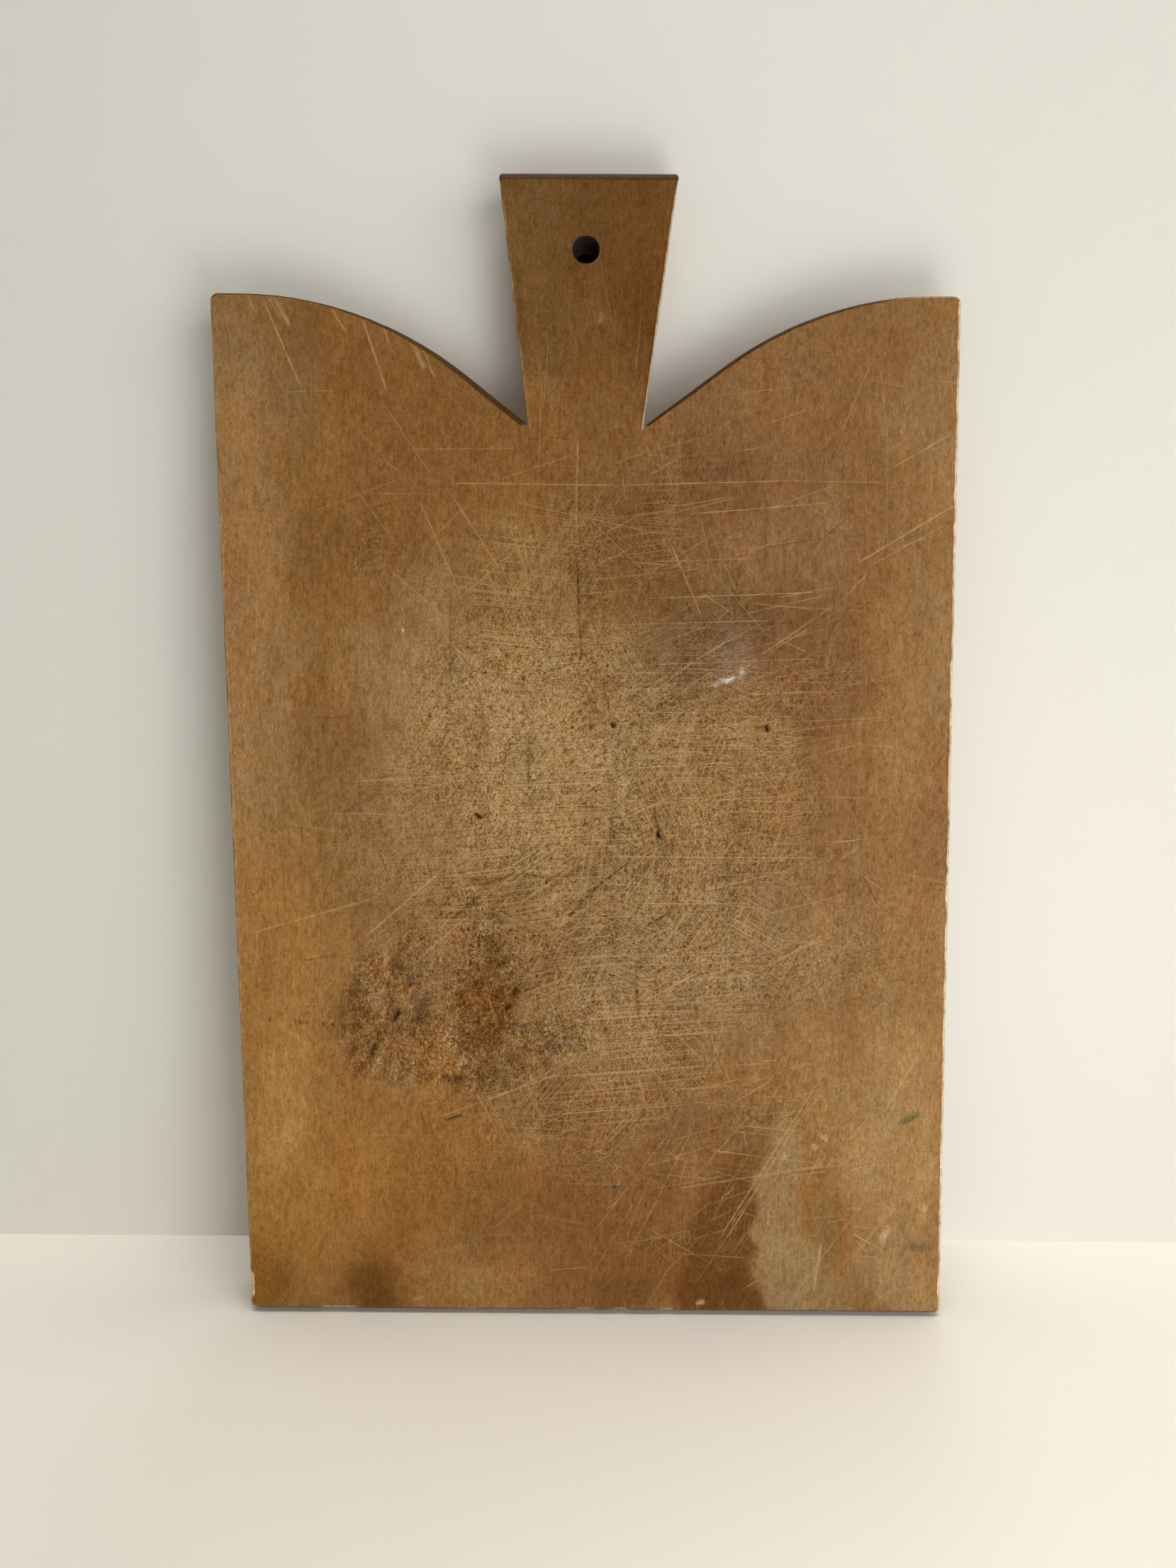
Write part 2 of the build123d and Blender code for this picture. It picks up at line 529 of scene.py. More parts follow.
def grid_inside(loop, holes, step, seed):
    """Points on a jittered grid inside a loop and outside its holes."""
    x_low, z_low = loop.min(axis=0)
    x_high, z_high = loop.max(axis=0)
    x = np.arange(x_low, x_high, step)
    z = np.arange(z_low, z_high, step * ROW_STEP)
    grid = np.stack(np.meshgrid(x, z), axis=-1)
    grid[1::2, :, 0] += step / 2
    points = grid.reshape(-1, 2)
    points = points + np.random.default_rng(seed).uniform(-JITTER, JITTER, points.shape) * step
    keep = inside(points, loop)
    for hole in holes:
        keep &= ~inside(points, hole)
    return points[keep]


def triangulated(loops, lines, loose):
    """Triangles over the area between loops[0] and the other loops, with the lines as edges.
    Gives the points, the triangles, and for each loop the indices of its points."""
    points, edges, spans = [], [], []
    for loop in loops:
        first = sum(map(len, points))
        count = len(loop)
        spans.append((first, count))
        edges += [(first + i, first + (i + 1) % count) for i in range(count)]
        points.append(loop)
    for line in lines:
        first = sum(map(len, points))
        edges += [(first + i, first + i + 1) for i in range(len(line) - 1)]
        points.append(line)
    points.append(loose)
    flat = [Vector(p) for p in np.concatenate(points)]
    made, _, faces, sources, _, _ = delaunay_2d_cdt(flat, edges, [], 0, SAME_POINT)
    place = np.array([(v.x, v.y) for v in made])
    made_from = {source: index for index, group in enumerate(sources) for source in group}
    rims = [[made_from[first + i] for i in range(count)] for first, count in spans]
    on_rim = np.zeros(len(place), bool)
    on_rim[[index for rim in rims for index in rim]] = True
    faces = np.array(faces)
    unsure = on_rim[faces].all(axis=1)
    centres = place[faces[unsure]].mean(axis=1)
    good = inside(centres, loops[0])
    for hole in loops[1:]:
        good &= ~inside(centres, hole)
    keep = ~unsure
    keep[np.flatnonzero(unsure)[good]] = True
    faces = faces[keep]
    a, b, c = (place[faces[:, k]] for k in range(3))
    area = (b[:, 0] - a[:, 0]) * (c[:, 1] - a[:, 1]) - (c[:, 0] - a[:, 0]) * (b[:, 1] - a[:, 1])
    faces[area < 0] = faces[area < 0][:, ::-1]
    return place, faces, rims


# ---------------- the edges

def outline_parts(outline):
    """Which outline points belong to the handle, the left and right shoulders, and the foot."""
    out = outward(outline)
    forward = np.roll(outline, -1, axis=0) - outline
    backward = outline - np.roll(outline, 1, axis=0)
    turn = backward[:, 0] * forward[:, 1] - backward[:, 1] * forward[:, 0]
    turn /= np.linalg.norm(forward, axis=1) * np.linalg.norm(backward, axis=1)
    right_notch, left_notch = sorted(np.argsort(turn)[:2], key=lambda i: -outline[i, 0])
    order = (np.arange(len(outline)) - right_notch) % len(outline)
    handle = order <= (left_notch - right_notch) % len(outline)
    rises = (out[:, 1] > 0.3) & ~handle
    return {
        "handle": handle,
        "left_shoulder": rises & (outline[:, 0] < 0),
        "right_shoulder": rises & (outline[:, 0] > 0),
        "foot": out[:, 1] < -0.7,
    }


def front_edge(outline, parts):
    """For each outline point: how far in the cutting face's edge is eased, how flat that easing is,
    and how light its edge is painted, from 0 for painted shade to 1 for pale, splintered wood with a
    painted highlight."""
    x, z = outline[:, 0], outline[:, 1]
    ragged = rough_noise(outline, 5, 71)
    chips = step_up(rough_noise(outline, 7, 72), 0.1, 0.5)
    ease = 0.7 + 0.25 * rough_noise(outline, 9, 70)
    flat = np.zeros(len(outline))
    bare_and_lit = 0.35 + 0.3 * ragged

    # the shoulders are bevelled, more so towards the handle, and their up-facing bevels are painted dark as
    # painted shade, but for the right one's pale tip
    left_bevel = 0.6 + 2.0 * step_up(x, -120, -40)
    right_bevel = 0.8 + 0.8 * step_up(-x, -130, -90) - 0.2 * step_up(-x, -50, -25)
    ease = np.where(parts["left_shoulder"], left_bevel + 0.2 * ragged, ease)
    ease = np.where(parts["right_shoulder"], right_bevel + 0.2 * ragged, ease)
    shoulders = parts["left_shoulder"] | parts["right_shoulder"]
    flat[shoulders] = 0.8
    bare_and_lit[shoulders] = 0.5 * step_up(x[shoulders], 112, 135)

    # the right side is worn to pale wood, painted brighter still as a highlight of the light from the right
    right_side = (x > 120) & ~shoulders & ~parts["foot"]
    ease = np.where(right_side, 1.2 + 0.4 * ragged, ease)
    bare_and_lit = np.where(right_side, 0.85 + 0.6 * ragged, bare_and_lit)

    # the foot is chipped, with its edge painted dark as a painted contact shadow; the handle is pale on its
    # right with a painted highlight, and painted dark along its end: darker end grain and painted shade
    ease = np.where(parts["foot"], 0.8 + 0.6 * chips, ease)
    bare_and_lit = np.where(parts["foot"], 0.1 + 0.35 * chips, bare_and_lit)
    bare_and_lit = np.where(parts["handle"] & (x > 0), 0.6, bare_and_lit)
    bare_and_lit = np.where(parts["handle"] & (z > TOP - 2), 0, bare_and_lit)

    # a chip is out of the left edge near the foot
    corner_chip = (x < -140) & (z > 5) & (z < 16)
    ease = ease + corner_chip * 1.0
    bare_and_lit = np.where(corner_chip, 1, bare_and_lit)
    return smoothed(ease), smoothed(flat), smoothed(np.clip(bare_and_lit, 0, 1))


def smoothed(values):
    """Values around a loop, each averaged with its neighbours."""
    return (np.roll(values, 1) + 2 * values + np.roll(values, -1)) / 4


END_BEVEL = 3.0
BEVEL_REACH = 9.0  # how far down the handle's sides the bevel's squeeze is taken up


def squeezed_end(place, share):
    """Points near the handle's end moved down by this share of its bevel."""
    near_end = np.clip((place[:, 1] - (TOP - BEVEL_REACH)) / BEVEL_REACH, 0, 1)
    moved = place.copy()
    moved[:, 1] -= END_BEVEL * share * near_end
    return moved


def between(a, b, share):
    return a * (1 - share) + b * share


def edge_rings(outline, ease, flat, back_ease, towards_wood, bevel):
    """Rings of points from the cutting face's rim, over its eased edge, along the side, to the back's rim.
    Each is (x, z) points and their y. towards_wood is the step from each outline point into the wood."""
    rings = []
    depth = np.maximum(ease, bevel)
    side_start = -HALF_THICKNESS + depth
    side_end = HALF_THICKNESS - back_ease
    wobble = UNEVENNESS * (1 + rough_noise(outline, 25, 80))
    for share in EASE_SHARES:
        turn = share * math.pi / 2
        across = between(1 - math.sin(turn), 1 - share, flat) * ease + wobble
        down = between(1 - math.cos(turn), share, flat) * depth
        place = outline + towards_wood * across[:, None]
        if bevel.any():
            place = squeezed_end(place, 1 - share)
        rings.append((place, -HALF_THICKNESS + down))
    for k in range(1, SIDE_RINGS):
        y = between(side_start, side_end, k / SIDE_RINGS)
        reach = np.stack([outline[:, 0] + outline[:, 1], y * 4], axis=1)
        fade = math.sin(math.pi * k / SIDE_RINGS)
        saw_marks = SAW_MARK_DEPTH * rough_noise(reach, (3, 12), 81) * fade
        rings.append((outline + towards_wood * (wobble + saw_marks)[:, None], y))
    for share in reversed(EASE_SHARES):
        turn = share * math.pi / 2
        across = (1 - math.sin(turn)) * back_ease + wobble
        down = (1 - math.cos(turn)) * back_ease
        rings.append((outline + towards_wood * across[:, None], HALF_THICKNESS - down))
    return rings


# ---------------- colours of the wood, linear RGB

# An oval of colour, in thousandths of linear RGB.
Patch = namedtuple("Patch", "x z half_width half_height colour strength soft tilt", defaults=(0.8, 0.8, 0))

GROUND = (0.243, 0.119, 0.035)
# Broad areas of colour on the cutting face, laid one over the other.
PATCHES = [Patch(*row) for row in (
    # the shoulders and the handle
    (-85, 375, 75, 60, (225, 101, 27), 0.9, 0.6),
    (-140, 392, 26, 40, (258, 142, 58), 0.85, 0.6),
    (80, 375, 75, 55, (234, 115, 42), 0.9, 0.6),
    (-2, 450, 60, 60, (152, 66, 16.5), 1.0, 0.3),
    (0, 412, 15, 24, (172, 77, 19)),
    (-21, 438, 13, 45, (182, 96, 31), 0.8, 0.8, 6),
    (20, 418, 11, 45, (150, 58, 11), 0.8, 0.8, -6),
    (-5, 368, 30, 26, (211, 95, 25), 0.8, 0.7),
    (138, 382, 20, 42, (268, 148, 60), 0.6),
    # the strips along both sides
    (-143, 290, 26, 130, (328, 178, 67), 0.95, 0.5, 1),
    (-104, 310, 16, 75, (248, 117, 31), 0.7, 0.7, 1),
    (-134, 120, 34, 95, (345, 170, 46), 0.9, 0.6, 2),
    (-130, 75, 18, 42, (430, 228, 64), 0.8, 0.7, 2),
    (143, 260, 20, 175, (290, 157, 58), 0.9, 0.5, 1),
    # the scoured middle
    (-15, 225, 95, 100, (275, 156, 56), 0.9, 0.7, 12),
    (-35, 245, 46, 46, (318, 192, 78), 0.9),
    (45, 160, 75, 48, (242, 142, 62), 0.9, 0.6, 10),
    (50, 240, 34, 28, (268, 150, 60), 0.7),
    (-58, 200, 34, 16, (292, 162, 64), 0.6, 0.8, 20),
    (15, 240, 20, 22, (240, 140, 60), 0.6),
    # darker, redder stains around it
    (138, 200, 14, 26, (210, 100, 30), 0.7),
    (25, 332, 36, 42, (171, 79, 25), 0.9, 0.7),
    (60, 350, 24, 22, (190, 84, 30), 0.7),
    (52, 287, 42, 24, (157, 80, 34), 0.9, 0.6, 20),
    (95, 285, 24, 44, (190, 88, 33), 0.85, 0.5, -12),
    (100, 215, 24, 42, (216, 109, 41), 0.75),
    (-98, 243, 18, 26, (235, 119, 43), 0.6, 0.7),
    (15, 200, 40, 24, (235, 133, 55), 0.7, 0.8, 20),
    (85, 328, 45, 18, (245, 128, 55), 0.6),
    (-60, 282, 34, 30, (325, 190, 80), 0.7),
    (-64, 238, 24, 34, (340, 194, 76), 0.6),
    (-108, 362, 22, 26, (312, 150, 41), 0.6),
    (12, 276, 22, 20, (275, 160, 70), 0.5),
    (100, 160, 20, 24, (300, 170, 68), 0.6),
    (16, 120, 20, 16, (295, 185, 88), 0.6),
    (-15, 160, 24, 16, (185, 92, 31)),
    (-62, 140, 42, 46, (262, 136, 50)),
    (-77, 122, 15, 12, (300, 144, 51), 0.8, 0.6, 10),
    (-44, 139, 13, 24, (215, 90, 20), 0.9, 0.5, -8),
    (-88, 140, 13, 26, (370, 190, 68), 0.9, 0.6, -20),
    (-80, 108, 34, 14, (340, 168, 51), 0.8, 0.7),
    (-15, 100, 34, 18, (215, 112, 42), 0.7, 0.7, 15),
    (-12, 124, 13, 15, (295, 163, 60)),
    (-35, 112, 9, 17, (150, 68, 18), 0.9),
    (-25, 150, 8, 13, (175, 84, 26), 0.8, 0.8, -10),
    (-106, 133, 7, 18, (205, 90, 21), 0.6),
    # the lower left
    (-75, 55, 48, 52, (280, 124, 27), 0.9, 0.6),
    (-100, 72, 20, 30, (330, 150, 34), 0.7),
    (-132, 40, 22, 28, (310, 150, 30), 0.8, 0.7),
    (-144, 14, 14, 20, (200, 90, 12), 0.8, 0.6),
    (-98, 6, 13, 20, (122, 50, 7), 0.9, 0.6),
    # the middle of the foot
    (10, 35, 70, 42, (186, 83, 22), 0.9, 0.5),
    (-55, 14, 30, 20, (320, 165, 52), 0.85, 0.7),
    (40, 82, 42, 18, (174, 84, 30), 0.8, 0.7),
    (59, 25, 19, 50, (118, 45, 8), 0.9, 0.35, -6),
    (18, 8, 18, 14, (144, 60, 13), 0.7, 0.7),
    # the paler lower right
    (118, 110, 30, 60, (262, 140, 49), 0.9, 0.6),
    (134, 70, 22, 66, (330, 193, 77), 0.9, 0.6, 6),
    (85, 40, 11, 48, (262, 156, 63), 0.9, 0.25, 5),
    (92, 12, 20, 26, (275, 172, 75), 0.9, 0.3),
    (106, 42, 5, 38, (221, 121, 40), 0.8, 0.6, -10),
    (130, 22, 18, 22, (290, 176, 74), 0.8, 0.6),
)]
BACK_GROUND = (0.25, 0.13, 0.048)
BACK_PATCHES = [
    Patch(0, 240, 110, 150, (290, 155, 60), 0.6),
    Patch(0, 440, 60, 58, (180, 88, 30), 0.8, 0.35),
]

PALE_WOOD = (0.5, 0.33, 0.155)
DARK_WOOD = (0.085, 0.036, 0.01)
SIDE_WOOD = (0.125, 0.062, 0.022)
# edge colours: painted shade on the edges that face away from the light, and pale worn wood brightened by a
# painted highlight
SHADED_EDGE = (0.062, 0.028, 0.005)
BARE_EDGE_HIGHLIGHT = (0.74, 0.53, 0.32)
# near-black: dirt in the cuts, and painted shade inside the hanging hole
DIRT_AND_SHADE = (0.02, 0.012, 0.007)


def painted(points, ground, patches):
    """Each point's broad colour."""
    moved = points + 9 * wander(points, 24, 90, 96, 5)
    colour = np.tile(np.array(ground), (len(points), 1))
    return laid_over(colour, moved, patches, 0.6)


def laid_over(colour, moved, patches, outer):
    """The colour with each patch's colour laid over it. A patch fades across its rim, by its softness
    within and this share of it beyond."""
    for patch in patches:
        distance = oval(moved, *patch[:4], patch.tilt)
        share = patch.strength * (1 - step_up(distance, 1 - patch.soft, 1 + patch.soft * outer))
        colour = between(colour, np.array(patch.colour) / 1000, share[:, None])
    return colour


# Small marks with sharper edges, laid over the rest.
MARKS = [Patch(*row) for row in (
    (-46, 140, 7, 13, (240, 98, 24), 0.8, 0.9, -12),
    (-50, 122, 8, 9, (200, 78, 16), 0.7, 0.9),
    (-33, 138, 5, 8, (205, 78, 16), 0.6, 0.9, -15),
    (-38, 163, 7, 5, (225, 92, 22), 0.6, 0.9),
    (-66, 149, 14, 9, (260, 136, 58), 0.6, 0.9, -20),
    (-84, 120, 12, 6, (280, 128, 48), 0.5, 0.9, 10),
    (-72, 134, 4, 6, (150, 76, 26), 0.5, 0.9, -30),
    (-16, 190, 26, 2.2, (150, 78, 28), 0.6, 0.9, 18),
    (22, 195, 9, 2.0, (130, 66, 24), 0.8, 0.9, 25),
    (16.5, 197.5, 2.2, 1.4, (110, 52, 16), 0.8, 0.9, 20),
    (58, 192, 20, 1.8, (150, 76, 28), 0.7, 0.9, 12),
    (34, 212, 1.3, 1.1, (90, 45, 16)),
    (-26.5, 203, 4, 1.4, (150, 90, 45), 0.8, 0.9),
    (-21, 190.5, 1.6, 1.2, (90, 48, 18), 0.7, 0.9),
    (30, 262, 14, 2.5, (140, 76, 32), 0.6, 0.9, 30),
    (78, 262, 10, 2.2, (140, 74, 28), 0.6, 0.9, -35),
    (-44, 252, 1.4, 12, (150, 82, 30), 0.6, 0.9, 10),
    (-96, 222, 9, 1.8, (140, 72, 26), 0.6, 0.9, 30),
    (0, 152, 10, 1.8, (150, 80, 32), 0.6, 0.9, 35),
    (60, 281, 9, 14, (360, 250, 170), 0.3, 0.9, 10),
    (56, 274, 4, 0.9, (620, 550, 470), 0.9, 0.8, 10),
    (62, 277, 0.9, 3, (550, 480, 400), 0.8, 0.8, 20),
    (51, 272, 1.5, 0.8, (580, 500, 420)),
    (-77, 294, 1.0, 1.0, (600, 520, 400), 0.9, 0.6),
    (137, 87, 1.6, 5.5, (75, 95, 45), 0.8, 0.6, -60),
    (13, 56, 1.2, 5.5, (60, 60, 35), 0.8, 0.6, -80),
    (143, 30, 2.2, 8, (90, 80, 60), 0.6, 0.9, -85),
    (49, 4, 2.0, 1.0, (450, 330, 200), 0.8, 0.6, 20),
    (-74, 5, 3.0, 0.9, (420, 290, 140), 0.6, 0.6),
    (3, 418, 1.4, 2.5, (340, 220, 110), 0.6, 0.6, -20),
    (97, 75, 1.5, 1.2, (500, 360, 200), 0.7, 0.6),
    (84, 71, 1.0, 2.0, (520, 400, 240), 0.8, 0.6, 20),
    (101, 79, 1.0, 2.2, (500, 380, 220), 0.8, 0.6, 30),
    (128, 35, 1.6, 4.0, (550, 420, 270), 0.6, 0.8, -30),
    (145, 47, 1.8, 1.5, (520, 340, 180), 0.7, 0.6),
)]


def marked(points, colour, marks):
    """The colour with small marks laid over it."""
    moved = points + 0.6 * np.stack([noise(points, 2.5, 98), noise(points, 2.5, 99)], axis=1)
    return laid_over(colour, moved, marks, 0.5)


def weathered(points, colour, wear, eaten):
    """The broad colour broken up by streaks along the grain and by blotches of every size."""
    streaks = 0.06 * rough_noise(points, (6, 110), 120, 3, 0.8)
    blotches = (0.10 + 0.09 * wear) * rough_noise(points, (16, 30), 130, 4, 0.9)
    blotches = blotches + 0.35 * eaten * rough_noise(turned(points, EATEN_LEAN), (4, 8), 134, 3, 0.9)
    light = 1 + streaks + blotches
    rust = (0.11 - 0.04 * wear + 0.15 * eaten) * rough_noise(points, (14, 20), 140, 4, 0.9)
    redness = streaks + rust - 0.6 * blotches
    tint = np.stack([1 + 0.22 * redness, 1 - 0.22 * redness, 1 - 0.9 * redness], axis=1)
    return np.clip(colour * light[:, None] * tint, 0, 1)


def side_tone(number, bare_and_lit):
    """The colours round this ring of the board's side."""
    # the eased edge runs from painted shade to pale worn wood with a painted highlight; past it lies the
    # plain side wood
    edge = between(np.array(SHADED_EDGE), np.array(BARE_EDGE_HIGHLIGHT), bare_and_lit[:, None])
    past_edge = step_up(number, len(EASE_SHARES) - 2, len(EASE_SHARES))
    return between(edge, np.array(SIDE_WOOD), past_edge)


# ---------------- putting the board together


class Surface:
    """Points, faces and per-point values gathered for one mesh."""

    def __init__(self):
        self.points, self.faces, self.count = [], [], 0
        self.values = {"tone": [], "pale": [], "painted_shade": [], "wear": [], "eaten": []}

    def add(self, place, y, tone, pale=0.0, painted_shade=0.0, wear=0.0, eaten=0.0):
        """Adds points and gives back their indices."""
        count = len(place)
        self.points.append(np.column_stack([place[:, 0], y * np.ones(count), place[:, 1]]))
        self.values["tone"].append(np.broadcast_to(tone, (count, 3)))
        for name, value in (("pale", pale), ("painted_shade", painted_shade), ("wear", wear), ("eaten", eaten)):
            self.values[name].append(np.broadcast_to(value, count))
        self.count += count
        return np.arange(self.count - count, self.count)

    def strip(self, ring, following, flip):
        """Joins two rings with quads."""
        ring_next, following_next = np.roll(ring, -1), np.roll(following, -1)
        quads = np.column_stack([ring, following, following_next, ring_next])
        self.faces += (quads[:, ::-1] if flip else quads).tolist()

    def mesh(self, name):
        mesh = bpy.data.meshes.new(name)
        mesh.from_pydata((np.concatenate(self.points) * MM).tolist(), [], self.faces)
        for key, parts in self.values.items():
            value = np.concatenate(parts).astype(np.float32)
            if key == "tone":
                value = np.column_stack([value, np.ones(len(value), np.float32)])
                mesh.attributes.new(key, "FLOAT_COLOR", "POINT").data.foreach_set("color", value.ravel())
            else:
                mesh.attributes.new(key, "FLOAT", "POINT").data.foreach_set("value", value)
        mesh.shade_smooth()
        mesh.update()
        return mesh


def lines_inside(cuts, rim, holes):
    """The cuts' lines, with the points too near the rim or in a hole left out."""
    lines = [line for cut in cuts for line in cut_lines(cut)]
    points = np.concatenate(lines)
    keep = inside(points, rim)
    for hole in holes:
        keep &= ~inside(points, hole)
    kept_runs = []
    for first, line in zip(np.cumsum([0] + [len(line) for line in lines]), lines):
        kept = keep[first : first + len(line)]
        steps = np.flatnonzero(np.diff(kept)) + 1
        runs = zip(np.split(line, steps), np.split(kept, steps))
        kept_runs += [run for run, good in runs if len(run) > 1 and good[0]]
    return kept_runs


RIM_CLEARANCE = 0.7
SINGLE_CUT_WIDENING = 1.5
PIT_DARKENING_AND_SHADE = 0.85
BESIDE_CUT_DARKNESS = 0.5


def board_rings(outline):
    """The rings over the board's edges and sides, and how light its front edge is painted at each outline
    point, from painted shade to pale wood with a painted highlight.
    """
    parts = outline_parts(outline)
    ease, flat, bare_and_lit = front_edge(outline, parts)
    at_end = (outline[:, 1] > TOP - BEVEL_REACH) & parts["handle"]
    towards_end = np.clip((outline[:, 1] - TOP + BEVEL_REACH) / BEVEL_REACH, 0, 1)
    bevel = np.where(at_end, END_BEVEL * towards_end, 0)
    back_ease = 0.8 + 0.2 * rough_noise(outline, 9, 73)
    return edge_rings(outline, ease, flat, back_ease, -outward(outline), bevel), bare_and_lit


def hole_rings(hole):
    """The rings through the hanging hole."""
    ease = 0.35 + 0.15 * noise(hole, 3, 74)
    none = np.zeros(len(hole))
    return edge_rings(hole, ease, none, ease, outward(hole), none)


def face_mesh(rim, hole_rim, cuts, step, seed):
    """A face's points and triangles, and the indices of the points on its rim and on its hole's rim."""
    inner_rim = rim - outward(rim) * RIM_CLEARANCE
    outer_hole = hole_rim + outward(hole_rim) * RIM_CLEARANCE
    loose = grid_inside(inner_rim, [outer_hole], step, seed)
    lines = lines_inside(cuts, inner_rim, [outer_hole]) if cuts else []
    return triangulated([rim, hole_rim], lines, loose)


def add_front(surface, rim, hole_rim):
    """Adds the cutting face, and gives back the indices of the points on its two rims."""
    cuts = widened(SINGLE_CUTS, SINGLE_CUT_WIDENING) + crowd_cuts(CROWDS, seed=7)
    place, faces, rims = face_mesh(rim, hole_rim, cuts, GRID_STEP, seed=11)
    wear = worn(place)
    eaten = eroded(place)
    tone = weathered(place, painted(place, GROUND, PATCHES), wear, eaten)
    # the pits are painted dark: partly the eaten wood's own colour, partly painted shade in the hollows
    tone = between(tone, np.array(DARK_WOOD), PIT_DARKENING_AND_SHADE * pits(place)[:, None])
    tone = between(tone, np.array(DARK_WOOD), BESIDE_CUT_DARKNESS * darkened_beside(place, SINGLE_CUTS)[:, None])
    tone = marked(place, tone, MARKS)
    relief = front_relief(place, cuts)
    front = surface.add(place, -HALF_THICKNESS + relief, tone, cut_paleness(place, cuts), 0, wear, eaten)
    surface.faces += front[faces].tolist()
    return [front[rim] for rim in rims]


def add_back(surface, rim, hole_rim):
    """Adds the back, and gives back the indices of the points on its two rims."""
    place, faces, rims = face_mesh(rim, hole_rim, [], GRID_STEP * 2, seed=12)
    tone = weathered(place, painted(place, BACK_GROUND, BACK_PATCHES), 0.2, 0)
    relief = UNEVENNESS * (1 + rough_noise(place, (14, 40), 51))
    back = surface.add(place, HALF_THICKNESS - relief, tone, 0, 0, 0.15)
    surface.faces += back[faces[:, ::-1]].tolist()
    return [back[rim] for rim in rims]


def add_side(surface, rings, tones, front_rim, back_rim, flip, painted_shade, wear):
    """Joins a rim of the front to the same rim of the back, ring by ring."""
    previous = front_rim
    for (place, y), tone in zip(rings[1:-1], tones):
        ring = surface.add(place, y, tone, 0, painted_shade, wear)
        surface.strip(previous, ring, flip)
        previous = ring
    surface.strip(previous, back_rim, flip)


def make_board():
    """The whole board as one closed mesh."""
    outline, hole = (resampled(loop, OUTLINE_STEP) for loop in cross_section(plank))
    outer, bare_and_lit = board_rings(outline)
    inner = hole_rings(hole)
    surface = Surface()
    front_rims = add_front(surface, outer[0][0], inner[0][0])
    back_rims = add_back(surface, outer[-1][0], inner[-1][0])
    side_tones = [side_tone(number, bare_and_lit) for number in range(1, len(outer) - 1)]
    hole_tones = [SIDE_WOOD] * (len(inner) - 2)
    add_side(surface, outer, side_tones, front_rims[0], back_rims[0], flip=False, painted_shade=0.0, wear=0.1)
    # the hanging hole's sides are painted near-black: painted shade inside the hole
    add_side(surface, inner, hole_tones, front_rims[1], back_rims[1], flip=True, painted_shade=0.9, wear=0.0)
    board = bpy.data.objects.new("board", surface.mesh("board"))
    bpy.context.scene.collection.objects.link(board)
    return board


# ---------------- the wood's material


class Recipe:
    """The nodes of a material or a world."""

    def __init__(self, owner):
        owner.use_nodes = True
        self.tree = owner.node_tree
        self.tree.nodes.clear()

    def add(self, kind, inputs, output=0, **settings):
        """Adds a node with its inputs set or linked, and gives back one of its outputs."""
        node = self.tree.nodes.new("ShaderNode" + kind)
        for name, value in settings.items():
            setattr(node, name, value)
        for key, value in inputs.items():
            if isinstance(value, bpy.types.NodeSocket):
                self.tree.links.new(value, node.inputs[key])
            else:
                node.inputs[key].default_value = value
        return node.outputs[output] if node.outputs else None

    def attribute(self, name, output="Fac"):
        return self.add("Attribute", {}, output, attribute_name=name)

    def maths(self, operation, a, b=0.0, c=0.0):
        return self.add("Math", {0: a, 1: b, 2: c}, operation=operation)

    def mix(self, share, a, b, blend="MIX"):
        return self.add("Mix", {0: share, 6: a, 7: b}, 2, data_type="RGBA", blend_type=blend)

    def rise(self, value, low, high, bottom=0.0, top=1.0):
        """Goes smoothly from bottom at low to top at high."""
        inputs = {"Value": value, "From Min": low, "From Max": high, "To Min": bottom, "To Max": top}
        return self.add("MapRange", inputs, interpolation_type="SMOOTHSTEP")

    def times(self, a, b):
        return self.maths("MULTIPLY", a, b)

    def times_plus(self, a, b, c):
        """a * b + c"""
        return self.maths("MULTIPLY_ADD", a, b, c)

    def greatest(self, *values):
        return functools.reduce(lambda a, b: self.maths("MAXIMUM", a, b), values)

    def scaled(self, vector, *scale):
        return self.add("Mapping", {"Vector": vector, "Scale": scale})

    def noise(self, vector, detail, roughness):
        inputs = {"Vector": vector, "Scale": 1.0, "Detail": detail, "Roughness": roughness}
        return self.add("TexNoise", inputs)


# Fine scratches fill patches of the face. In each patch they all run one way: about this direction,
# give or take the spread, in degrees. Then patch size, length and width scales in mm,
# how rare they are, from 0.55 to 0.75, and strength.
Scratches = namedtuple("Scratches", "angle spread patch length width rare strength")
SCRATCHES = [
    Scratches(4, 20, 60, 120, 0.5, 0.71, 1.0),
    Scratches(30, 60, 34, 80, 0.45, 0.71, 0.9),
    Scratches(62, 50, 40, 90, 0.45, 0.71, 0.8),
    Scratches(-48, 60, 36, 80, 0.45, 0.71, 0.8),
]
HAIRS = [
    Scratches(20, 160, 5, 3, 0.5, 0.54, 1.0),
    Scratches(-60, 160, 4, 3, 0.5, 0.54, 1.0),
]


